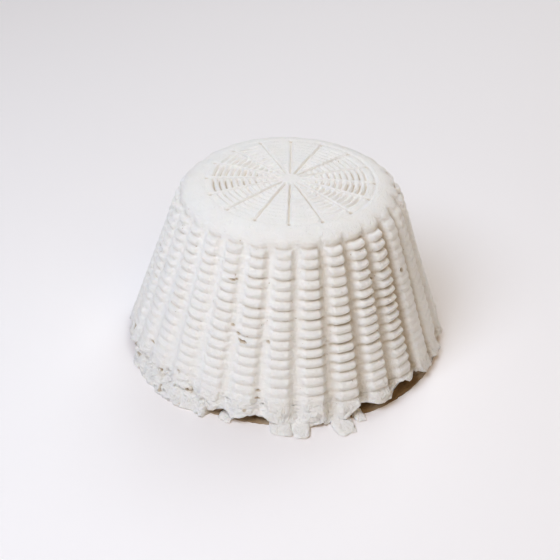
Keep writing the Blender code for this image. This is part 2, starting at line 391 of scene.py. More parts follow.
@dataclass(frozen=True)
class WallPrint:
    """What the basket's wall pressed into the cheese.

    Bars are counted down from the highest groove, and sides are as Spot has them.
    """

    inputs: ClassVar[tuple[str, ...]] = (
        "columns", "column_turn", "bar_depth", "bar_half_share", "smile", "right_rise", "left_drop", "crown",
        "faint_turn", "valley_depth", "wall_steepness", "side_depth", "end_pit_depth", "valley_start",
        "valley_full", "valley_end",
    )
    columns: int = 28
    column_turn: float = math.radians(-1.8)
    bars: int = 16
    bar_pitch: float = 5.2 * MM
    pitch_loss: float = 0.0145 * MM
    top_groove: float = 91.0 * MM
    bar_depth: float = 2.7 * MM
    bar_half_share: float = 0.275
    bar_flank: float = 0.38
    # How much painted shade the grooves between the bars take
    bar_shade: float = 0.8
    bar_wander: float = 0.13
    bar_wander_size: float = 7.0 * MM
    crown: float = 0.5 * MM
    # How sharp the grooves between the bars are, from place to place
    first_groove: Span = (-0.55, -0.1)
    last_groove: float = 14.3
    last_groove_right: float = 1.5
    last_groove_side: Span = (0.0, 0.5)
    last_groove_fade: float = 1.6
    fading_bars: Span = (9.5, 16.0)
    fading: float = 0.3
    fading_far_left: float = 0.35
    far_left: Span = (0.45, 0.8)
    sharpness: float = 0.95
    sharpness_by_side: float = 0.15
    sharp_side: Span = (0.0, 0.4)
    blunt_side: Span = (0.2, 0.7)
    faint_turn: float = math.radians(75.0)
    faint_half_turn: float = math.radians(25.0)
    faintest_half_turn: float = 0.17
    faint_loss: float = 0.82
    least_luck: float = 0.7
    luck_spread: float = 0.35
    # How the bars' lines bend up at their ends
    smile: float = 0.55 * MM
    smile_loss: float = 0.6
    smile_bars: Span = (0.0, 9.0)
    right_rise: float = 2.9 * MM
    right_rise_bars: Span = (3.0, 11.0)
    left_drop: float = 2.0 * MM
    left_drop_bars: Span = (0.0, 8.0)
    straight_bars: Span = (14.5, 17.0)
    # The valleys between the columns; their edges wander by a size and a share of a column
    valley_depth: float = 3.8 * MM
    valley_start: float = 94.5 * MM
    valley_start_right: float = 2.5 * MM
    valley_start_side: Span = (0.1, 0.5)
    valley_full: float = 87.5 * MM
    valley_end: float = 10.0 * MM
    wall_steepness: float = 2.8
    edge_wanders: tuple[Span, ...] = ((16.0 * MM, 0.02), (3.5 * MM, 0.035))
    notch_height: float = 88.0 * MM
    notch_narrowing: float = 0.85
    groove_widening: float = 0.03
    side_depth: float = 0.3
    deep_side: Span = (-0.1, 0.6)
    shallow_side: Span = (0.1, 0.6)
    # Painted shade in the valleys between the columns, darker towards the right and darkest at the far right
    damp_and_shade: float = 0.3
    shade_by_side: float = 1.3
    far_right_shade: float = 0.35
    far_right: Span = (0.7, 0.84)
    end_pit_depth: float = 0.8 * MM
    end_pit_shade: float = 0.5

    def groove_height(self, bar: float) -> float:
        """Returns the height of the groove under this bar, counted from 0 over the highest one."""
        return self.top_groove - bar * self.bar_pitch + bar * bar * self.pitch_loss

    def lift(self, recipe: "Recipe", spot: Spot) -> Wire:
        """Works out how far the bars' lines are lifted here, as they bend up at their ends.

        Args:
            recipe: the recipe, with this print's sizes.
            spot: where the skin's point lies.

        Returns:
            The lift in metres, along the wall.
        """
        graph, size = recipe.graph, recipe.size
        spread = graph.math("MINIMUM", graph.size_of(spot.sideways) / size("bar_half_share"), 1.0)
        smile = size("smile") * spread**2 * (1 - self.smile_loss * graph.eased(spot.bar, *self.smile_bars))
        right = graph.math("MAXIMUM", spot.side, 0.0) * size("right_rise")
        right = right * graph.eased(spot.bar, *self.right_rise_bars)
        left = graph.math("MINIMUM", spot.side, 0.0) * size("left_drop")
        left = left * (1 - graph.eased(spot.bar, *self.left_drop_bars))
        fade = spot.on_wall * (1 - graph.eased(spot.bar, *self.straight_bars))
        return (smile + right + left) * fade

    def groove(self, recipe: "Recipe", spot: Spot) -> Wire:
        """Works out how fully the groove between two bars is pressed here.

        Args:
            recipe: the recipe, with this print's sizes.
            spot: where the skin's point lies.

        Returns:
            A number from 0 on a bar's ridge to about 1 in a sharp groove.
        """
        graph, side = recipe.graph, spot.side
        bar = spot.bar + graph.noise(spot.place, self.bar_wander_size, detail=3.0) * self.bar_wander
        swell = graph.math("SINE", graph.math("FRACT", bar) * math.pi)
        last = self.last_groove + self.last_groove_right * graph.eased(side, *self.last_groove_side)
        ended = graph.eased(spot.bar, last, last + self.last_groove_fade)
        grooved = graph.eased(spot.bar, *self.first_groove) * (1 - ended)
        loss = self.fading + self.fading_far_left * graph.eased(-side, *self.far_left)
        fading = 1 - graph.eased(spot.bar, *self.fading_bars) * loss
        facing = graph.math("COSINE", spot.turn - recipe.size("faint_turn"))
        faint = graph.eased(facing, math.cos(self.faint_half_turn), math.cos(self.faintest_half_turn))
        sharp = self.sharpness + self.sharpness_by_side * graph.eased(side, *self.sharp_side)
        sharp = sharp - self.faint_loss * faint
        sharp = sharp - self.sharpness_by_side * graph.eased(-side, *self.blunt_side)
        return (1 - graph.math("MAXIMUM", swell, 0.0)) * grooved * fading * sharp

    def depth(self, recipe: "Recipe", spot: Spot) -> tuple[Wire, Wire]:
        """Works out how deep the wall's print is here.

        Args:
            recipe: the recipe, with this print's sizes.
            spot: where the skin's point lies.

        Returns:
            The depth in metres, and how much painted shade the place takes, from 0 to 1.
        """
        graph, size, side = recipe.graph, recipe.size, spot.side
        ragged = sum(graph.noise(spot.place, lump) * share for lump, share in self.edge_wanders)
        aside = graph.size_of(spot.sideways + ragged)
        luck = graph.chance(spot.column, graph.nearest(spot.bar), PrintDraw.BAR)
        groove = self.groove(recipe, spot) * (self.least_luck + self.luck_spread * luck)
        start = size("valley_start") + self.valley_start_right * graph.eased(side, *self.valley_start_side)
        narrow = 1 - self.notch_narrowing * graph.eased(spot.height, self.notch_height, start)
        half = (0.5 - size("bar_half_share")) * narrow + groove * self.groove_widening
        into = graph.held((aside - 0.5 + half) / half)
        begun = 1 - graph.eased(spot.height, size("valley_full"), start)
        ended = graph.eased(spot.height, 0.0, size("valley_end"))
        channel = (1 - (1 - into) ** size("wall_steepness")) * begun * ended
        deeper = graph.eased(side, *self.deep_side) - graph.eased(-side, *self.shallow_side)
        # 4 brings the product of the two shares to 1 half way into the valley
        end_pits = groove**2 * into * (1 - into) * 4 * luck * begun
        crown = graph.math("MINIMUM", aside / size("bar_half_share"), 1.0) ** 2 * spot.on_wall * ended
        bars = groove * (1 - graph.eased(into, 0.0, self.bar_flank))
        depth = (
            bars * size("bar_depth")
            + channel * size("valley_depth") * (1 + deeper * size("side_depth"))
            + crown * size("crown")
            + end_pits * size("end_pit_depth")
        )
        # Painted shade: the grooves between the bars, the valleys and the pits at the bars' ends are darkened
        # as if in shade, the valleys more towards the right
        damp_and_shade = self.damp_and_shade * (1 + self.shade_by_side * deeper)
        damp_and_shade = damp_and_shade + self.far_right_shade * graph.eased(side, *self.far_right)
        hollow = bars * self.bar_shade + channel * damp_and_shade + end_pits * self.end_pit_shade
        return depth, graph.held(hollow)


@dataclass(frozen=True)
class DiscPrint:
    """What the basket's bottom pressed into the top. Rings are counted in from the outermost one."""

    inputs: ClassVar[tuple[str, ...]] = (
        "spokes", "spoke_half_width", "spoke_depth", "spoke_end", "ring_outer_radius", "ring_pitch",
        "ring_depth", "ring_least", "rim_groove_radius", "rim_groove_depth", "hub_radius", "wobble",
    )
    spokes: int = 16
    spoke_half_width: float = 0.62 * MM
    spoke_flank: Span = (0.1, 1.5)
    spoke_depth: float = 1.3 * MM
    spoke_end: float = 44.4 * MM
    spoke_end_fade: float = 2.5 * MM
    spoke_least: float = 0.7
    spoke_shade: float = 0.75
    dot_radius: float = 1.1 * MM
    dot_depth_share: float = 0.9
    dot_shade: float = 0.8
    rings: int = 10
    ring_outer_radius: float = 40.7 * MM
    ring_pitch: float = 3.25 * MM
    ring_depth: float = 2.6 * MM
    ring_flank: Span = (0.08 * MM, 0.95 * MM)
    ring_gap: Span = (0.9 * MM, 2.3 * MM)
    ring_least: float = 0.14
    ring_full_side: Span = (0.3, 0.85)
    ring_least_luck: float = 0.6
    ring_sway: float = 0.6
    ring_shade: float = 0.95
    first_ring: Span = (-0.6, -0.4)
    last_ring_cut: float = 0.7
    last_ring_fade: float = 0.3
    rim_groove_radius: float = 45.5 * MM
    rim_groove_depth: float = 0.7 * MM
    rim_groove_width: float = 0.9 * MM
    rim_middle_share: float = 0.7
    rim_shade: float = 0.45
    hub_radius: float = 5.0 * MM
    hub_edge: Span = (0.85, 1.3)
    wobble: float = 0.45 * MM
    wobble_size: float = 7.0 * MM
    top_heights: Span = (60.0 * MM, 80.0 * MM)

    def depth(self, recipe: "Recipe", spot: Spot) -> tuple[Wire, Wire]:
        """Works out how deep the top's print is here.

        Args:
            recipe: the recipe, with this print's sizes.
            spot: where the skin's point lies.

        Returns:
            The depth in metres, and how much painted shade the place takes, from 0 to 1.
        """
        graph, size = recipe.graph, recipe.size
        sway = graph.noise(spot.place, self.wobble_size, detail=1.0) * size("wobble")
        sector = math.tau / size("spokes")
        count = spot.turn / sector
        spoke = graph.nearest(count)
        aside = graph.size_of(spot.radius * graph.math("SINE", (count - spoke) * sector) + sway)
        luck = graph.chance(graph.math("FLOORED_MODULO", spoke, size("spokes")), 0.0, PrintDraw.SPOKE)
        cut = 1 - graph.eased(aside, *(size("spoke_half_width") * share for share in self.spoke_flank))
        length = graph.eased(spot.radius, *(size("hub_radius") * share for share in self.hub_edge))
        end = size("spoke_end")
        length = length * (1 - graph.eased(spot.radius, end - self.spoke_end_fade, end))
        spokes = cut * length * graph.from_least(self.spoke_least, luck)
        past_end = (spot.radius - end) / self.dot_radius
        dots = graph.math("EXPONENT", -((aside / self.dot_radius) ** 2) - past_end**2)
        ring_count = (size("ring_outer_radius") - spot.radius + sway * self.ring_sway) / size("ring_pitch")
        ring = graph.nearest(ring_count)
        away = graph.size_of(ring_count - ring) * size("ring_pitch")
        part = graph.math("FLOORED_MODULO", graph.math("FLOOR", count), size("spokes"))
        ring_luck = graph.chance(part, ring, PrintDraw.RING)
        last = self.rings - self.last_ring_cut
        ended = graph.eased(ring_count, last, last + self.last_ring_fade)
        ringed = graph.eased(ring_count, *self.first_ring) * (1 - ended)
        at_side = graph.eased(graph.size_of(spot.side), *self.ring_full_side)
        beside = graph.from_least(size("ring_least"), at_side)
        rings = (1 - graph.eased(away, *self.ring_flank)) * ringed * graph.eased(aside, *self.ring_gap)
        rings = rings * graph.from_least(self.ring_least_luck, ring_luck) * beside
        to_rim = (spot.radius - size("rim_groove_radius")) / self.rim_groove_width
        rim = graph.math("EXPONENT", -(to_rim**2)) * graph.from_least(self.rim_middle_share, spot.side)
        depth = (
            spokes * size("spoke_depth")
            + dots * size("spoke_depth") * self.dot_depth_share
            + rings * size("ring_depth")
            + rim * size("rim_groove_depth")
        )
        # Painted shade: the spokes, their end dots, the rings and the rim groove are darkened as if in shade
        hollow = (
            spokes * self.spoke_shade
            + dots * self.dot_shade
            + rings * self.ring_shade
            + rim * self.rim_shade
        )
        on_top = graph.eased(spot.height, *self.top_heights)
        return depth * on_top, graph.held(hollow * on_top)


@dataclass(frozen=True)
class Foot:
    """The torn foot: where its edge is broken away, and the skirts of curd that lie against it."""

    edge_height: float = 4.6 * MM
    edge_wander: float = 1.4 * MM
    undercut_height: float = 2.6 * MM
    undercut_radius: float = 85.2 * MM
    underside_radius: float = 85.9 * MM
    skirt_rise: float = 3.2 * MM
    skirt_raggedness: float = 0.9 * MM
    skirt_lip: float = 1.3 * MM
    skirt_steepness: float = 3.0
    skirt_flat_share: float = 0.75
    skirt_wander_lumps: float = 8.0
    skirt_line_ends: Span = (4.0, 1.0)
    edge_wander_lumps: float = 7.0
    undercut_share: float = 0.55
    break_flat_share: float = 0.4
    break_recess: float = 3.0 * MM
    # The torn edge in front, from left to right: degrees, and millimetres over the ground
    edge_line: tuple[Span, ...] = (
        (-82.0, 4.8), (-69.0, 5.0), (-27.0, 3.4), (-25.5, 4.0), (-23.5, 4.8), (-21.2, 6.9), (-19.5, 5.2),
        (-17.8, 3.5), (-14.2, 4.8), (-10.6, 6.0), (-6.8, 5.2), (-3.2, 3.9), (0.0, 2.4), (4.0, 1.4),
        (6.9, 0.9), (9.8, 1.2), (13.5, 2.9), (15.0, 1.2), (16.4, 0.6), (18.0, 1.8), (21.1, 2.8),
        (23.6, 4.4), (25.4, 6.0), (26.3, 8.2), (27.8, 8.5), (31.3, 6.8), (35.7, 4.8), (37.8, 4.9),
        (40.8, 5.9), (43.5, 7.5), (45.3, 10.0), (47.8, 10.6), (50.4, 7.7), (51.9, 7.0), (53.6, 8.9),
        (55.1, 9.6), (59.1, 6.2), (60.5, 4.6), (64.5, 4.4), (82.0, 4.6),
    )
    # Elsewhere: the middle, half width and height of each break
    breaks: Rows = (
        (108.0, 7.0, 3.6 * MM),
        (-96.0, 5.0, 3.0 * MM),
        (-140.0, 6.0, 4.4 * MM),
        (176.0, 7.0, 3.2 * MM),
    )
    # The skirt in front, from left to right: degrees, and millimetres beyond the foot radius
    skirt_line: tuple[Span, ...] = (
        (-72.0, 0.0), (-67.0, -0.3), (-60.2, 0.5), (-55.2, 0.9), (-49.5, 1.8), (-43.9, 2.6), (-41.0, 1.9),
        (-37.2, 2.2), (-35.0, 0.7), (-31.5, 0.1), (-29.2, 1.1), (-27.5, 2.7), (-26.6, 2.7),
    )
    skirts: Rows = (
        (138.0, 24.0, 3.2 * MM),
        (-166.0, 14.0, 2.6 * MM),
        (-124.0, 14.0, 2.0 * MM),
    )

    def skirt_at(self, degrees: float) -> tuple[float, float]:
        """Describes the skirt at one angle.

        Args:
            degrees: the angle from the front.

        Returns:
            How full the skirt is, 0 to 1, and its ragged edge's reach beyond the foot radius.
        """
        turns, reaches = zip(*self.skirt_line)
        if turns[0] <= degrees <= turns[-1]:
            begin, end = self.skirt_line_ends
            share = smooth_step(turns[0], turns[0] + begin, degrees)
            share *= 1 - smooth_step(turns[-1] - end, turns[-1], degrees)
            return share, MM * float(np.interp(degrees, turns, reaches))
        share, reach = 0.0, 0.0
        for middle, half_width, full_reach in self.skirts:
            here = bump_at(degrees, middle, half_width, self.skirt_flat_share)
            if here > share:
                share, reach = here, full_reach
        ragged = noise.noise(place_at(degrees, self.skirt_wander_lumps, SEED))
        return share, reach + self.skirt_raggedness * ragged

    def edge_at(self, degrees: float) -> float:
        """Returns the height of the torn edge at this angle, without the skirts."""
        turns, heights = zip(*self.edge_line)
        if turns[0] <= degrees <= turns[-1]:
            return MM * float(np.interp(degrees, turns, heights))
        wander = self.edge_wander * noise.noise(place_at(degrees, self.edge_wander_lumps, 0.0))
        flat = self.break_flat_share
        broken = max(high * bump_at(degrees, middle, half, flat) for middle, half, high in self.breaks)
        return self.edge_height + wander + broken

    def broken_at(self, degrees: float) -> float:
        """Returns how much the foot is broken away at this angle, from 0 to 1."""
        above = self.edge_at(degrees) - self.edge_height
        return min(1.0, max(0.0, above / self.break_recess))

    def key_places(self, form: Form, lowest_bar: float, degrees: Optional[float]) -> np.ndarray:
        """Works out the foot's key rows at one angle.

        Args:
            form: the cheese's plain form.
            lowest_bar: height of the groove under the lowest bar.
            degrees: the angle from the front, or None for the foot without tears and skirts.

        Returns:
            One row of radius and height for each FootRow.
        """
        skirt, reach, broken, edge = 0.0, 0.0, 0.0, self.edge_height
        if degrees is not None:
            skirt, reach = self.skirt_at(degrees)
            broken = self.broken_at(degrees)
            edge = self.edge_at(degrees) + self.skirt_rise * skirt
        recess = self.break_recess * broken
        under = mix(min(self.undercut_height, edge * self.undercut_share), self.skirt_lip, skirt)
        brow = (lowest_bar + edge) / 2
        outer = form.foot_radius + reach
        lip = outer - self.skirt_lip / self.skirt_steepness
        rows = {
            FootRow.BAR: (form.wall_radius(lowest_bar), lowest_bar),
            FootRow.BROW: (form.wall_radius(brow), brow),
            FootRow.EDGE: (form.wall_radius(edge), edge),
            FootRow.UNDERCUT: (mix(self.undercut_radius - recess, outer, skirt), under),
            FootRow.GROUND: (mix(self.underside_radius, lip, skirt), 0.0),
        }
        return np.array([rows[row] for row in FootRow])


@dataclass(frozen=True)
class CurdFinish:
    """The look of fresh curd: white and moist, and painted warmer and darker, as shade, where it is hollow.

    Its spans say between which values of a noise, or of how hollow the place is, a look eases in.
    """

    name: str = "fresh_curd"
    skin: Rgb = (0.93, 0.9, 0.845)
    whey: Rgb = (0.86, 0.81, 0.73)
    torn: Rgb = (0.97, 0.935, 0.875)
    torn_share: float = 0.85
    # Painted shade: hollow is the warm brown painted into grooves, pits and valleys, and deep is the near
    # black-brown painted as the shadow under the torn edge
    hollow: Rgb = (0.62, 0.52, 0.39)
    deep: Rgb = (0.27, 0.165, 0.07)
    hollow_shade_span: Span = (0.25, 1.05)
    deep_shade_span: Span = (1.05, 1.9)
    crumbly_span: Span = (0.0, 0.25)
    mottle_size: float = 14.0 * MM
    mottle_span: Span = (-0.2, 0.9)
    mottle_share: float = 0.5
    grain_size: float = 0.9 * MM
    grain_height: float = 0.3 * MM
    lump_height: float = 0.26 * MM
    curdle_size: float = 2.0 * MM
    curdle_height: float = 0.65 * MM
    curdle_shade: float = 0.06
    pit_size: float = 3.0 * MM
    pit_span: Span = (0.42, 0.6)
    pit_shade: float = 0.5
    pore_size: float = 1.7 * MM
    pore_span: Span = (0.42, 0.7)
    pore_depth: float = 0.35 * MM
    pore_shade: float = 0.7
    shine: float = 0.3
    roughness: float = 0.66
    grain_roughness: float = 0.08
    translucency: float = 0.15
    scatter: float = 1.2 * MM
    scatter_shares: Rgb = (1.0, 0.8, 0.6)

    def material(self) -> bpy.types.Material:
        """Builds the material.

        Returns:
            The material. Its colour is darkened with painted shade by the mesh's "hollow" attribute and in
            its pores and pits, and its relief is crumbly where the mesh's "crumble" attribute is over 0.
        """
        material = bpy.data.materials.new(self.name)
        material.use_nodes = True
        material.node_tree.nodes.clear()
        graph = Graph(material.node_tree)
        place = graph.wire("ShaderNodeTexCoord", output="Object")
        depth = graph.wire("ShaderNodeAttribute", {"attribute_name": "hollow"}, output="Fac")
        loose = graph.wire("ShaderNodeAttribute", {"attribute_name": "crumble"}, output="Fac")
        crumbly = graph.eased(loose, *self.crumbly_span)
        curdle = graph.noise(place, self.curdle_size, detail=4.0)
        pits = graph.eased(graph.noise(place, self.pit_size), *self.pit_span) * crumbly
        pores = graph.eased(graph.noise(place, self.pore_size, detail=1.0), *self.pore_span)
        # Painted shade: pores, pits and the crumbly hollows between lumps darken the colour as if in shade
        depth = depth + pores * self.pore_shade + pits * self.pit_shade
        depth = depth + (1 - curdle) * crumbly * self.curdle_shade
        mottle = graph.eased(graph.noise(place, self.mottle_size, detail=3.0), *self.mottle_span)
        damp_and_shade = graph.colour_mix(mottle * self.mottle_share, self.skin, self.whey)
        damp_and_shade = graph.colour_mix(crumbly * self.torn_share, damp_and_shade, self.torn)
        # Painted shade: hollow places turn warm brown, and the deepest, under the torn edge, near black-brown
        shaded = graph.colour_mix(graph.eased(depth, *self.hollow_shade_span), damp_and_shade, self.hollow)
        colour = graph.colour_mix(graph.eased(depth, *self.deep_shade_span), shaded, self.deep)
        grain = graph.noise(place, self.grain_size, detail=3.0)
        height = grain * self.grain_height + curdle * self.lump_height - pores * self.pore_depth
        height = height + (curdle - pits) * crumbly * self.curdle_height
        bump = {"Height": height, "Distance": 1.0, "Strength": 1.0}
        relief = graph.wire("ShaderNodeBump", sockets=bump, output="Normal")
        shader = graph.wire(
            "ShaderNodeBsdfPrincipled",
            sockets={
                "Base Color": colour,
                "Roughness": self.roughness + grain * self.grain_roughness,
                "Specular IOR Level": self.shine,
                "Subsurface Weight": self.translucency,
                "Subsurface Radius": self.scatter_shares,
                "Subsurface Scale": self.scatter,
                "Normal": relief,
            },
        )
        graph.node("ShaderNodeOutputMaterial", sockets={"Surface": shader})
        return material


@dataclass(frozen=True)
class FloorFinish:
    """A plain matt floor, which glows faintly near the cheese and is as pale as the horizon far off."""

    name: str = "pale_floor"
    colour: Rgb = (0.93, 0.93, 0.93)
    roughness: float = 0.7
    near_glow: Rgb = (0.07, 0.035, 0.014)
    far_glow: Rgb = (0.52, 0.485, 0.43)
    near: float = 0.5
    far: float = 1.7

    def material(self) -> bpy.types.Material:
        """Builds the material."""
        material = bpy.data.materials.new(self.name)
        material.use_nodes = True
        graph = Graph(material.node_tree)
        place = graph.wire("ShaderNodeTexCoord", output="Object")
        away = graph.wire("ShaderNodeVectorMath", {"operation": "LENGTH"}, {0: place}, "Value")
        glow = graph.colour_mix(graph.eased(away, self.near, self.far), self.near_glow, self.far_glow)
        shader = material.node_tree.nodes["Principled BSDF"]
        values = {"Base Color": (*self.colour, 1.0), "Roughness": self.roughness, "Emission Strength": 1.0}
        for name, value in values.items():
            shader.inputs[name].default_value = value
        graph.tree.links.new(glow.socket, shader.inputs["Emission Color"])
        return material


class Recipe:
    """A Geometry Nodes tree with named inputs, which turns one mesh into another.

    A size has its field's name in the script, such as bar_depth, and is the input Bar Depth in the tree.
    """

    def __init__(self, name: str, sizes: Mapping[str, float]) -> None:
        """Starts the tree.

        Args:
            name: the tree's name.
            sizes: the sizes that are its inputs. Whole numbers make integer inputs.
        """
        self.tree = bpy.data.node_groups.new(name, "GeometryNodeTree")
        self.graph = Graph(self.tree)
        self.sizes = dict(sizes)
        for way in ("INPUT", "OUTPUT"):
            self.tree.interface.new_socket("Geometry", in_out=way, socket_type="NodeSocketGeometry")
        self.identifiers = {}
        for size, value in self.sizes.items():
            kind = "NodeSocketInt" if isinstance(value, int) else "NodeSocketFloat"
            socket = self.tree.interface.new_socket(self.title(size), in_out="INPUT", socket_type=kind)
            self.identifiers[size] = socket.identifier
        self.entry = self.graph.node("NodeGroupInput")

    @staticmethod
    def title(size: str) -> str:
        """Returns the input's name for a size."""
        return size.replace("_", " ").title()

    @staticmethod
    def sizes_of(part: Any) -> dict[str, float]:
        """Returns the sizes of a part that are inputs of its recipe."""
        return {name: getattr(part, name) for name in part.inputs}

    def size(self, name: str) -> Wire:
        """Returns the wire of a size."""
        return Wire(self.graph, self.entry.outputs[self.title(name)])

    def source(self) -> Wire:
        """Returns the wire of the mesh that comes in."""
        return Wire(self.graph, self.entry.outputs["Geometry"])

    def attribute(self, name: str) -> Wire:
        """Returns the wire of a named number on the mesh's points."""
        return self.graph.wire("GeometryNodeInputNamedAttribute", {"data_type": "FLOAT"}, {"Name": name})

    def sample(self, value: Wire, row: Wire, kind: str = "FLOAT") -> Wire:
        """Returns the wire of a value on one point of the mesh that comes in."""
        sockets = {"Geometry": self.source(), "Value": value, "Index": row}
        return self.graph.wire("GeometryNodeSampleIndex", {"data_type": kind}, sockets)

    def store(self, geometry: Wire, name: str, value: Wire) -> Wire:
        """Returns the wire of the mesh with this number kept on its points under a name."""
        sockets = {"Geometry": geometry, "Name": name, "Value": value}
        return self.graph.wire("GeometryNodeStoreNamedAttribute", {"data_type": "FLOAT"}, sockets)

    def finish(self, geometry: Wire, material: bpy.types.Material) -> None:
        """Ends the tree in Realize Instances and Set Material."""
        real = self.graph.wire("GeometryNodeRealizeInstances", sockets={"Geometry": geometry})
        dressed = self.graph.wire("GeometryNodeSetMaterial", sockets={"Geometry": real, "Material": material})
        self.graph.node("NodeGroupOutput", sockets={"Geometry": dressed})

    def cook(self, name: str, source: bpy.types.Mesh) -> bpy.types.Object:
        """Runs the tree on a mesh.

        Args:
            name: the new object's name.
            source: the mesh that goes in.

        Returns:
            A plain object with the finished mesh, and no modifier.
        """
        holder = placed(name, source)
        modifier = holder.modifiers.new("recipe", "NODES")
        modifier.node_group = self.tree
        for size, value in self.sizes.items():
            modifier[self.identifiers[size]] = value
        graph = bpy.context.evaluated_depsgraph_get()
        made = bpy.data.meshes.new_from_object(holder.evaluated_get(graph))
        bpy.data.objects.remove(holder, do_unlink=True)
        made.name = name
        return placed(name, made)


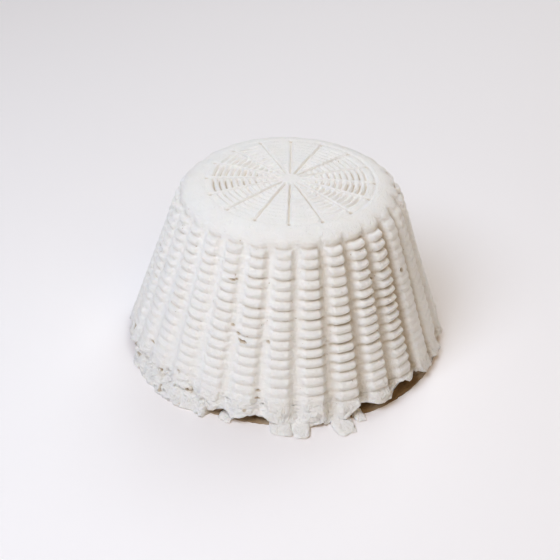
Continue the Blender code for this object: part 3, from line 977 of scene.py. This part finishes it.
@dataclass
class Skin:
    """The cheese's fine skin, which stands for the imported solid."""

    inputs: ClassVar[tuple[str, ...]] = ("steps", "bunching", "gathering", "grain", "fine_grain")
    form: Form
    wall: WallPrint
    disc: DiscPrint
    foot: Foot
    material: bpy.types.Material
    steps_per_column: int = 12
    rows_per_ring: int = 7
    bar_rows: tuple[float, ...] = (0.0, 0.1, 0.21, 0.32, 0.43, 0.54, 0.65, 0.77, 0.89)
    rim_rows: int = 8
    shoulder_rows: int = 14
    foot_rows_per_key: int = 7
    foot_bars: float = 2.0
    underside_rows: int = 4
    wall_begin: Span = (-1.2, -0.1)
    slump: float = 0.6 * MM
    slump_size: float = 45.0 * MM
    bunching: float = 0.4
    gathering: float = 0.55
    grain: float = 0.22 * MM
    grain_size: float = 11.0 * MM
    fine_grain: float = 0.2 * MM
    fine_grain_size: float = 2.4 * MM
    # The torn foot; spans are steps along FootRow from the row that each is for
    tear_size: float = 5.0 * MM
    tear_depth: float = 0.8 * MM
    tear_lift: float = 0.8
    tear_begin: float = 0.5
    print_end: Span = (-0.2, 0.6)
    skirt_crag: float = 1.2
    under_begin: float = 0.25
    under_edge: float = 1.5 * MM
    under_break: float = 6.0 * MM
    # Painted shadow under the torn edge, darker where the foot is broken away, and painted shade in the
    # skirts' creases
    under_shadow: float = 1.45
    break_shadow: float = 0.6
    rough_height: float = 1.1 * MM
    rough_size: float = 3.2 * MM
    rough_dimension: float = 0.8
    torn_top: float = 19.0 * MM
    torn_full: float = 9.0 * MM
    torn_crumble: float = 0.25
    skirt_crumble_top: float = 12.0 * MM
    crumble_end: float = 0.5
    crease_height: float = 8.0 * MM
    crease_width: float = 1.6 * MM
    crease_depth: float = 0.7 * MM
    crease_size: float = 5.0 * MM
    crease_full: float = 0.45
    crease_shade: float = 0.5
    mark_shade: float = 1.8
    mark_edge: Span = (0.25, 1.4)
    mark_reach: float = 2.5
    mark_raggedness: float = 0.35
    mark_lump_size: float = 1.5 * MM
    dent_middle: float = 0.1
    # Pits and tears: degrees, and millimetres of height, half width, half height and depth
    marks: Rows = in_metres(
        (-16.9, 42.8, 3.0, 0.9, 1.9),
        (-19.5, 44.6, 1.6, 0.8, 1.2),
        (-7.2, 42.5, 0.9, 0.9, 1.6),
        (-69.0, 57.5, 2.0, 1.2, 1.5),
        (-55.9, 45.7, 1.3, 1.2, 1.6),
        (-43.6, 46.9, 0.9, 0.9, 1.2),
        (-22.0, 48.3, 0.9, 0.8, 1.2),
        (-24.5, 72.3, 2.2, 0.7, 1.1),
        (28.2, 47.9, 0.9, 1.5, 1.6),
        (53.3, 42.8, 1.1, 2.0, 1.8),
        (61.0, 64.0, 1.5, 1.1, 1.6),
        (43.6, 66.2, 1.0, 0.8, 1.4),
        (16.9, 41.7, 0.8, 0.8, 1.2),
        (39.5, 71.6, 0.9, 0.8, 1.2),
        (-41.2, 16.2, 1.2, 1.1, 1.8),
        (-65.5, 5.5, 1.4, 1.2, 2.0),
        (-61.0, 17.0, 0.9, 0.7, 1.2),
        (-50.2, 10.2, 1.1, 0.9, 1.6),
        (-46.8, 3.4, 0.9, 1.8, 2.4),
        (-36.0, 8.4, 1.7, 1.0, 2.0),
        (-9.9, 17.4, 1.0, 0.6, 1.2),
        (-9.5, 13.5, 0.8, 0.7, 1.2),
        (-12.9, 8.8, 0.8, 1.0, 1.4),
        (-78.0, 12.0, 1.2, 2.2, 1.6),
        (-73.0, 6.0, 1.0, 2.4, 1.6),
    )
    # Dents: degrees, and millimetres of radius, height, half width and depth
    dents: Rows = in_metres(
        (-120.0, 52.0, 95.8, 9.0, 2.0),
        (178.0, 60.5, 89.0, 8.0, 1.8),
        (80.0, 87.0, 11.0, 8.0, 1.8),
    )

    @property
    def steps(self) -> int:
        """How many steps the skin has round its axis."""
        return self.steps_per_column * self.wall.columns

    def profile(self) -> list[tuple[float, float, float, float]]:
        """Works out the plain profile from the top's middle to the underside's middle.

        Returns:
            Rows of radius, height, bar count and foot position. The bar count grows by 1 from one
            groove to the next, and is OFF_WALL on the disc. The foot position runs along FootRow,
            then by 1 more to the underside's middle, and is OFF_FOOT off the foot.
        """
        disc, wall, form = self.disc, self.wall, self.form
        ring_start = disc.ring_outer_radius - (disc.rings - 0.5) * disc.ring_pitch
        radii = list(np.linspace(0.0, ring_start, 2 * self.rows_per_ring))
        ring_end = disc.ring_outer_radius + disc.ring_pitch / 2
        radii += list(np.linspace(ring_start, ring_end, disc.rings * self.rows_per_ring + 1))[1:]
        radii += list(np.linspace(ring_end, form.disc_radius, self.rim_rows + 1))[1:]
        rows = [(radius, form.top_height(radius), OFF_WALL, OFF_FOOT) for radius in radii]
        centre_radius, centre_height = form.shoulder_centre()
        start = math.asin((form.disc_radius - centre_radius) / form.shoulder_radius)
        stop = math.acos((wall.groove_height(0) - centre_height) / form.shoulder_radius)
        for turn in np.linspace(start, stop, self.shoulder_rows + 1)[1:-1]:
            radius = centre_radius + form.shoulder_radius * math.sin(turn)
            height = centre_height + form.shoulder_radius * math.cos(turn)
            rows.append((radius, height, (wall.top_groove - height) / wall.bar_pitch, OFF_FOOT))
        counts = [bar + part for bar in range(wall.bars) for part in self.bar_rows]
        for count in (*counts, float(wall.bars)):
            height = wall.groove_height(count)
            rows.append((form.side_radius(height), height, count, 0.0 if count == wall.bars else OFF_FOOT))
        keys = self.foot.key_places(form, wall.groove_height(wall.bars), None)
        ground = FootRow.GROUND.value
        for along in np.linspace(0, ground, ground * self.foot_rows_per_key + 1)[1:]:
            radius, height = self.along_keys(keys, along)
            rows.append((radius, height, wall.bars + along * self.foot_bars / ground, float(along)))
        bottom = rows[-1][0]
        for share in np.linspace(0, 1, self.underside_rows + 1)[1:]:
            rows.append((bottom * (1 - share), 0.0, wall.bars + self.foot_bars, ground + share))
        return rows

    @staticmethod
    def along_keys(keys: np.ndarray, along: float) -> np.ndarray:
        """Returns the radius and height this far along the foot's key rows."""
        first = min(int(along), len(keys) - 2)
        return keys[first] + (keys[first + 1] - keys[first]) * (along - first)

    def profile_mesh(self) -> bpy.types.Mesh:
        """Builds the profile as a chain of edges, with its rows' values as attributes."""
        rows = np.array(self.profile())
        mesh = bpy.data.meshes.new("profile")
        points = [(radius, 0.0, height) for radius, height in rows[:, :2]]
        mesh.from_pydata(points, [(i, i + 1) for i in range(len(points) - 1)], [])
        along = np.gradient(rows[:, :2], axis=0)
        along /= np.linalg.norm(along, axis=1)[:, None]
        values = {"bar": rows[:, 2], "foot": rows[:, 3], "out": -along[:, 1], "up": along[:, 0]}
        for name, numbers in values.items():
            keep_numbers(mesh, name, numbers)
        return mesh

    def spot(self, recipe: Recipe) -> Spot:
        """Works out where each point of the recipe's grid lies.

        Args:
            recipe: the recipe, with the grid's sizes.

        Returns:
            The point's wires.
        """
        graph, size = recipe.graph, recipe.size
        index = graph.wire("GeometryNodeInputIndex")
        row = graph.math("FLOORED_MODULO", index, size("rows"))
        step = graph.nearest((index - row) / size("rows"))
        plain = recipe.sample(graph.wire("GeometryNodeInputPosition"), row, "FLOAT_VECTOR")
        parts = graph.node("ShaderNodeSeparateXYZ", sockets={0: plain})
        radius = Wire(graph, parts.outputs["X"])
        height = Wire(graph, parts.outputs["Z"])
        names = ("bar", "foot", "out", "up")
        bar, foot, out, up = (recipe.sample(recipe.attribute(name), row) for name in names)
        on_wall = graph.eased(bar, *self.wall_begin)
        share = step / size("steps")
        columns, spokes = size("columns"), size("spokes")
        bunched = graph.math("SINE", share * columns * (2 * math.tau)) / (2 * math.tau)
        wall_turn = (share + bunched * size("bunching") / columns) * math.tau + size("column_turn")
        gathered = graph.math("SINE", share * spokes * math.tau) / math.tau
        disc_turn = (share - gathered * size("gathering") / spokes) * math.tau
        turn = disc_turn + (wall_turn - disc_turn) * on_wall
        across = (turn - size("column_turn")) * columns / math.tau
        column = graph.nearest(across)
        return Spot(
            radius=radius,
            height=height,
            bar=bar,
            foot=foot,
            out=out,
            up=up,
            turn=turn,
            side=graph.math("SINE", turn),
            column=graph.math("FLOORED_MODULO", column, columns),
            sideways=across - column,
            on_wall=on_wall,
            place=graph.turned(turn, radius, height),
        )

    def press(self) -> bpy.types.Object:
        """Turns the profile round its axis and presses the basket's print into it.

        Returns:
            The closed skin, with "hollow", "foot" and "press" numbers on its points; "hollow" says how much
            painted shade a point takes.
        """
        profile = self.profile_mesh()
        sizes = {"rows": len(profile.vertices)}
        for part in (self, self.wall, self.disc):
            sizes.update(Recipe.sizes_of(part))
        recipe = Recipe("basket_print", sizes)
        graph, size = recipe.graph, recipe.size
        spot = self.spot(recipe)
        lift = self.wall.lift(recipe, spot)
        wall_depth, wall_shade = self.wall.depth(recipe, spot)
        disc_depth, disc_shade = self.disc.depth(recipe, spot)
        lumps = graph.noise(spot.place, self.grain_size, detail=4.0) * size("grain")
        lumps = lumps + graph.noise(spot.place, self.fine_grain_size, detail=3.0) * size("fine_grain")
        press = lumps - wall_depth - disc_depth
        radius = spot.radius + press * spot.out - lift * spot.up
        height = spot.height + press * spot.up + lift * spot.out
        place = graph.turned(spot.turn, radius, height)
        counts = {"Vertices X": size("steps") + 1, "Vertices Y": size("rows")}
        grid = graph.wire("GeometryNodeMeshGrid", sockets=counts)
        numbers = {"hollow": wall_shade + disc_shade, "foot": spot.foot, "press": press}
        for name, number in numbers.items():
            grid = recipe.store(grid, name, number)
        turned = graph.wire("GeometryNodeSetPosition", sockets={"Geometry": grid, "Position": place})
        closed = graph.wire("GeometryNodeMergeByDistance", sockets={"Geometry": turned, "Distance": MERGE})
        outward = graph.wire("GeometryNodeFlipFaces", sockets={"Mesh": closed})
        recipe.finish(outward, self.material)
        return recipe.cook("ricotta_curd_body", profile)

    def softened(self, place: Vector) -> float:
        """Returns how far the skin sags in or out here."""
        return self.slump * noise.noise(place / self.slump_size)

    def torn(self, place: Vector, foot: float, press: float) -> tuple[Vector, float]:
        """Moves a point of the foot to where the torn foot has it.

        Args:
            place: the pressed point.
            foot: its foot position.
            press: how far the print moved it out.

        Returns:
            The point on the torn foot, and how much painted shade it takes there, from 0 to 2.
        """
        degrees = math.degrees(math.atan2(place.x, -place.y))
        keys = self.foot.key_places(self.form, self.wall.groove_height(self.wall.bars), degrees)
        undercut, ground = FootRow.UNDERCUT.value, FootRow.GROUND.value
        inner = max(0.0, foot - ground)
        radius, height = self.along_keys(keys, min(foot, float(ground)))
        skirt, _ = self.foot.skirt_at(degrees)
        broken = self.foot.broken_at(degrees)
        edge = FootRow.EDGE.value
        under = smooth_step(edge, edge + self.under_begin, foot) * (1 - skirt)
        off_ground = 1 - smooth_step(undercut, ground, foot)
        radius -= under * off_ground * (self.under_edge + self.under_break * broken)
        crease = skirt * math.exp(-(((height - self.crease_height) / self.crease_width) ** 2))
        crease *= smooth_step(0.0, self.crease_full, noise.noise(place / self.crease_size))
        radius -= crease * self.crease_depth
        first, last = self.print_end
        kept = 1 - smooth_step(edge + first, edge + last, foot)
        torn = place_at(degrees, (radius + press * kept) * (1 - inner), height)
        begun = smooth_step(FootRow.BAR.value, FootRow.BROW.value + self.tear_begin, foot) * (1 - inner)
        begun *= 1 + self.skirt_crag * skirt
        ragged = crags(torn / self.tear_size) * self.tear_depth * begun
        torn += place_at(degrees, ragged, 0.0)
        lifted = crags(torn / self.tear_size + Vector((SEED, 0, 0)), octaves=3) * self.tear_depth
        torn.z += lifted * begun * off_ground * self.tear_lift
        # Painted shadow: the undercut under the torn edge is painted dark brown, and the crease above a skirt
        # takes painted shade
        hollow = under * (self.under_shadow + self.break_shadow * broken)
        return torn, max(crease * self.crease_shade, hollow)

    def crumble_at(self, place: Vector, foot: float) -> float:
        """Returns how crumbly the skin is at a place, from 0 to 1 on the skirts."""
        if foot > FootRow.UNDERCUT.value + self.crumble_end:
            return 0.0
        skirt, _ = self.foot.skirt_at(math.degrees(math.atan2(place.x, -place.y)))
        low = 1 - smooth_step(self.torn_full, self.torn_top, place.z)
        on_skirt = skirt * (1 - smooth_step(self.torn_full, self.skirt_crumble_top, place.z))
        return max(low * self.torn_crumble, on_skirt)

    def pitted(self, place: Vector) -> tuple[float, float]:
        """Works out the pits and tears at a place on the wall.

        Args:
            place: the point asked about.

        Returns:
            How deep they are here, in metres, and how much painted shade they take, from 0 to 2.
        """
        degrees = math.degrees(math.atan2(place.x, -place.y))
        radius = math.hypot(place.x, place.y)
        depth, hollow = 0.0, 0.0
        for middle, height, half_width, half_height, full_depth in self.marks:
            across = math.radians(away_from(degrees, middle)) * radius / half_width
            away = math.hypot(across, (place.z - height) / half_height)
            if away > self.mark_reach:
                continue
            away *= 1 + self.mark_raggedness * noise.noise(place / self.mark_lump_size)
            share = 1 - smooth_step(*self.mark_edge, away)
            depth = max(depth, share * full_depth)
            # Painted shade: the pits and tears are painted dark brown, as if in shadow
            hollow = max(hollow, share * self.mark_shade)
        return depth, hollow

    def dented(self, place: Vector) -> Vector:
        """Returns how far the dents move a point of the skin."""
        moved = Vector((0.0, 0.0, 0.0))
        for degrees, radius, height, half_width, depth in self.dents:
            middle = place_at(degrees, radius, height)
            share = 1 - smooth_step(self.dent_middle, 1.0, (place - middle).length / half_width)
            inward = Vector((0.0, 0.0, height / 2)) - middle
            moved += inward.normalized() * (depth * share)
        return moved

    def roughened(self, place: Vector, foot: float) -> float:
        """Returns how far the torn band's lumps stand out at a place, in metres."""
        if place.z > self.torn_top or foot > FootRow.UNDERCUT.value:
            return 0.0
        low = 1 - smooth_step(self.torn_full, self.torn_top, place.z)
        return low * self.rough_height * crags(place / self.rough_size, dimension=self.rough_dimension)

    def build(self) -> bpy.types.Object:
        """Makes the whole skin.

        Returns:
            The closed piece, pressed, torn and pitted.
        """
        piece = self.press()
        mesh = piece.data
        feet, presses = ([item.value for item in mesh.attributes[name].data] for name in ("foot", "press"))
        hollows = mesh.attributes["hollow"].data
        crumble = []
        for vertex, foot, press, hollow in zip(mesh.vertices, feet, presses, hollows):
            place = vertex.co.copy()
            outward = Vector((place.x, place.y, 0.0)).normalized()
            shade = 0.0
            if foot > 0:
                place, shade = self.torn(place, foot, press)
            if foot < FootRow.GROUND.value:
                place += outward * self.softened(place)
            depth, share = self.pitted(place)
            place -= outward * (depth - self.roughened(place, foot))
            place += self.dented(place)
            # The painted shade of the tears, pits and undercut joins that of the print
            hollow.value = max(hollow.value, share, shade)
            crumble.append(self.crumble_at(place, foot))
            vertex.co = place
        for name in ("foot", "press"):
            mesh.attributes.remove(mesh.attributes[name])
        keep_numbers(mesh, "crumble", crumble)
        mesh.shade_smooth()
        return piece


@dataclass
class LooseCurds:
    """The torn-off curds that lie against the foot."""

    form: Form
    material: bpy.types.Material
    centre_radius: float = 85.0 * MM
    ground_gap: float = 0.3 * MM
    roughness: float = 0.12
    lump_size: float = 0.6
    sharpness: float = 9.0
    middle_share: float = 0.4
    top_side: float = 0.85
    top_slope: float = 0.85
    cut_sides: int = 9
    nearest_cut: float = 0.88
    farthest_cut: float = 1.2
    cut_rise: Span = (-0.1, 1.0)
    subdivisions: int = 5
    crag: float = 0.35 * MM
    crag_size: float = 2.8 * MM
    crag_rise: float = 0.7
    crumble: float = 0.12
    # Degrees, and millimetres of length round the foot, reach beyond the foot radius and height
    curds: Rows = in_metres(
        (-20.0, 7.5, 0.3, 3.0),
        (-0.6, 12.0, 5.8, 4.4),
        (6.0, 10.5, 8.6, 3.8),
        (20.2, 11.0, 7.4, 3.2),
        (27.0, 6.0, 0.8, 3.0),
        (118.0, 11.0, 3.8, 4.6),
        (167.0, 14.0, 4.8, 5.4),
        (185.0, 8.5, 2.6, 3.8),
        (226.0, 12.0, 3.4, 4.8),
        (259.0, 10.0, 0.0, 3.4),
    )

    def flat_sides(self, degrees: float) -> list[Vector]:
        """Works out the flat sides of one curd, which are always the same at the same place.

        Args:
            degrees: the curd's angle from the front.

        Returns:
            One vector for each side, which points squarely at it and is 1 over its distance long.
        """
        chance = random.Random(SEED + round(degrees * 10))
        sides = [Vector(side) for side in ((-1, 0, 0), (1, 0, 0), (0, -1, 0), (0, 1, 0), (0, 0, -1))]
        sides.append(Vector((self.top_slope, 0.0, 1.0)) / self.top_side)
        for _ in range(self.cut_sides):
            turn = chance.uniform(0, math.tau)
            side = Vector((math.cos(turn), math.sin(turn), chance.uniform(*self.cut_rise))).normalized()
            sides.append(side / chance.uniform(self.nearest_cut, self.farthest_cut))
        return sides

    def add_curd(self, cluster: bmesh.types.BMesh, curd: tuple[float, float, float, float]) -> None:
        """Adds one curd to the cluster.

        Args:
            cluster: the mesh that takes the curd.
            curd: its degrees, length, reach and height.
        """
        degrees, length, reach, height = curd
        deep = self.form.foot_radius + reach - self.centre_radius
        outward = place_at(degrees, 1.0, 0.0)
        along = Vector((-outward.y, outward.x, 0.0))
        made = bmesh.ops.create_icosphere(cluster, subdivisions=self.subdivisions, radius=1.0)
        sides = self.flat_sides(degrees)
        for vertex in made["verts"]:
            lumpy = 1 + self.roughness * noise.noise(vertex.co / self.lump_size + outward * SEED)
            near = sum(max(0.0, vertex.co.dot(flat)) ** self.sharpness for flat in sides)
            out, side, up = vertex.co * (lumpy / near ** (1 / self.sharpness))
            place = outward * (self.centre_radius + deep * out) + along * (length / 2 * side)
            place.z = max(self.ground_gap, height * mix(self.middle_share, 1.0, up))
            crag = crags(place / self.crag_size) * self.crag
            place += (outward * out + along * side).normalized() * crag
            if place.z > self.ground_gap:
                place.z = max(self.ground_gap, place.z + crag * self.crag_rise)
            vertex.co = place

    def build(self) -> bpy.types.Object:
        """Makes all the curds as one piece.

        Returns:
            The piece.
        """
        cluster = bmesh.new()
        for curd in self.curds:
            self.add_curd(cluster, curd)
        mesh = bpy.data.meshes.new("loose_curds")
        cluster.to_mesh(mesh)
        cluster.free()
        keep_numbers(mesh, "crumble", [self.crumble] * len(mesh.vertices))
        mesh.materials.append(self.material)
        mesh.shade_smooth()
        return placed("loose_curds", mesh)


@dataclass
class Crumbs:
    """The small crumbs that cling to the skin, most of them on the torn foot."""

    inputs: ClassVar[tuple[str, ...]] = (
        "density", "gathering", "smallest", "largest", "rarity", "flattest", "lump_height", "ground_gap",
    )
    material: bpy.types.Material
    density: float = 150000.0
    gathering: float = 2.4
    smallest: float = 0.4 * MM
    largest: float = 1.7 * MM
    rarity: float = 3.0
    flattest: float = 0.6
    height_share: float = 0.9
    subdivisions: int = 2
    lump_size: float = 1.3 * MM
    lump_height: float = 0.35 * MM
    ground_gap: float = 0.3 * MM

    def build(self, skin: bpy.types.Mesh) -> bpy.types.Object:
        """Scatters the crumbs over the skin.

        Args:
            skin: the finished skin, with its "crumble" numbers.

        Returns:
            All the crumbs as one piece.
        """
        recipe = Recipe("curd_crumbs", Recipe.sizes_of(self))
        graph, size = recipe.graph, recipe.size
        density = recipe.attribute("crumble") ** size("gathering") * size("density")
        spread = {"Mesh": recipe.source(), "Density": density, "Seed": SEED}
        points = graph.wire("GeometryNodeDistributePointsOnFaces", sockets=spread)
        luck = graph.luck(0.0, CrumbDraw.SIZE) ** size("rarity")
        radius = size("smallest") + (size("largest") - size("smallest")) * luck
        flat = graph.luck(size("flattest"), CrumbDraw.FLATNESS)
        turns = {1: (math.tau,) * 3, "Seed": CrumbDraw.TURN.value}
        turn = graph.wire("FunctionNodeRandomValue", {"data_type": "FLOAT_VECTOR"}, turns)
        ball = {"Radius": 1.0, "Subdivisions": self.subdivisions}
        laid = {
            "Points": points,
            "Instance": graph.wire("GeometryNodeMeshIcoSphere", sockets=ball),
            "Rotation": turn,
            "Scale": graph.point(radius, radius * flat, radius * self.height_share),
        }
        crumbs = graph.wire("GeometryNodeInstanceOnPoints", sockets=laid)
        crumbs = graph.wire("GeometryNodeRealizeInstances", sockets={"Geometry": crumbs})
        place = graph.wire("GeometryNodeInputPosition")
        lump = graph.noise(place, self.lump_size) * size("lump_height")
        outward = graph.wire("GeometryNodeInputNormal")
        moved = graph.wire("ShaderNodeVectorMath", {"operation": "SCALE"}, {0: outward, "Scale": lump})
        moved = graph.wire("ShaderNodeVectorMath", {"operation": "ADD"}, {0: place, 1: moved})
        parts = graph.node("ShaderNodeSeparateXYZ", sockets={0: moved})
        across, along, up = (Wire(graph, socket) for socket in parts.outputs)
        raised = graph.point(across, along, graph.math("MAXIMUM", up, size("ground_gap")))
        crumbs = graph.wire("GeometryNodeSetPosition", sockets={"Geometry": crumbs, "Position": raised})
        recipe.finish(graph.wire("GeometryNodeSetShadeSmooth", sockets={"Geometry": crumbs}), self.material)
        return recipe.cook("curd_crumbs", skin)


class LampKind(Enum):
    """What a lamp of the studio is for."""

    KEY = "key"
    FRONT = "front"
    BACK = "back"
    WARM = "warm"


@dataclass(frozen=True)
class Lamp:
    """A soft square lamp that looks at the cheese."""

    kind: LampKind
    azimuth: float
    elevation: float
    power: float
    colour: Rgb = (1.0, 1.0, 1.0)
    distance: float = 1.3
    size: float = 0.7

    def build(self, target: Vector) -> bpy.types.Object:
        """Makes the lamp.

        Args:
            target: the point that it looks at.

        Returns:
            The lamp's object.
        """
        data = bpy.data.lights.new(self.kind.value, "AREA")
        data.size = self.size
        data.energy = self.power
        data.color = self.colour
        lamp = placed(self.kind.value, data)
        rise = math.radians(self.elevation)
        ground = self.distance * math.cos(rise)
        lamp.location = target + place_at(self.azimuth, ground, self.distance * math.sin(rise))
        lamp.rotation_euler = (target - lamp.location).to_track_quat("-Z", "Y").to_euler()
        return lamp


@dataclass
class Studio:
    """The floor, the lamps, the pale surroundings and the camera."""

    target: Vector = field(default_factory=lambda: Vector((0.0, 0.0, 45 * MM)))
    camera_distance: float = 0.72
    camera_pitch: float = 0.5752
    camera_roll: float = 0.03
    lens: float = 83.55
    shift: tuple[float, float] = (-0.0138, -0.0314)
    clip_start: float = 0.01
    floor_half: float = 3.0
    horizon: Rgb = (0.58, 0.54, 0.48)
    zenith: Rgb = (0.04, 0.04, 0.04)
    horizon_rise: float = 0.3
    floor_finish: FloorFinish = FloorFinish()
    lamps: tuple[Lamp, ...] = (
        Lamp(LampKind.KEY, -40.0, 52.0, 12.6, (0.8, 0.86, 1.0)),
        Lamp(LampKind.FRONT, 30.0, 52.0, 2.8, (1.0, 0.8, 0.52)),
        Lamp(LampKind.BACK, 160.0, 52.0, 6.6, (0.91, 0.95, 1.0)),
        Lamp(LampKind.WARM, 105.0, 20.0, 0.3, (1.0, 0.15, 0.05)),
    )

    def add_floor(self) -> bpy.types.Object:
        """Lays the floor that the cheese stands on."""
        sheet = bmesh.new()
        bmesh.ops.create_grid(sheet, x_segments=1, y_segments=1, size=self.floor_half)
        mesh = bpy.data.meshes.new("floor")
        sheet.to_mesh(mesh)
        sheet.free()
        mesh.materials.append(self.floor_finish.material())
        floor = placed("floor", mesh)
        return floor

    def add_camera(self) -> bpy.types.Object:
        """Sets the camera where the photograph was taken from."""
        data = bpy.data.cameras.new("camera")
        data.lens = self.lens
        data.shift_x, data.shift_y = self.shift
        data.clip_start = self.clip_start
        camera = placed("camera", data)
        back = self.camera_distance * math.cos(self.camera_pitch)
        over = self.camera_distance * math.sin(self.camera_pitch)
        look = Matrix.Rotation(math.pi / 2 - self.camera_pitch, 4, "X")
        roll = Matrix.Rotation(self.camera_roll, 4, "Z")
        camera.matrix_world = Matrix.Translation(self.target + Vector((0.0, -back, over))) @ look @ roll
        bpy.context.scene.camera = camera
        return camera

    def add_surroundings(self) -> None:
        """Makes the surroundings pale near the horizon and dim overhead."""
        world = bpy.data.worlds.new("surroundings")
        world.use_nodes = True
        graph = Graph(world.node_tree)
        direction = graph.wire("ShaderNodeTexCoord", output="Generated")
        parts = graph.node("ShaderNodeSeparateXYZ", sockets={0: direction})
        above = graph.eased(Wire(graph, parts.outputs["Z"]), 0.0, self.horizon_rise)
        colour = graph.colour_mix(above, self.horizon, self.zenith)
        world.node_tree.links.new(colour.socket, world.node_tree.nodes["Background"].inputs["Color"])
        bpy.context.scene.world = world
        bpy.context.scene.view_settings.view_transform = "Standard"

    def build(self) -> None:
        """Sets up the whole studio."""
        self.add_camera()
        self.add_surroundings()
        self.add_floor()
        for lamp in self.lamps:
            lamp.build(self.target)


def dress(piece: bpy.types.Object) -> None:
    """Says which body a piece rides on, hides the imported solid that it stands for, and logs its faces."""
    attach(piece, BODY)
    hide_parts(NODE)
    log.info("%s has %d faces", piece.name, len(piece.data.polygons))


def main() -> None:
    """Builds the studio and the dressed cheese."""
    logging.basicConfig(level=logging.INFO)
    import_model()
    Studio().build()
    form = Form()
    curd = CurdFinish().material()
    skin = Skin(form, WallPrint(), DiscPrint(), Foot(), curd).build()
    dress(skin)
    dress(LooseCurds(form, curd).build())
    dress(Crumbs(curd).build(skin.data))
    bpy.context.view_layer.update()


if __name__ == "__main__":
    main()
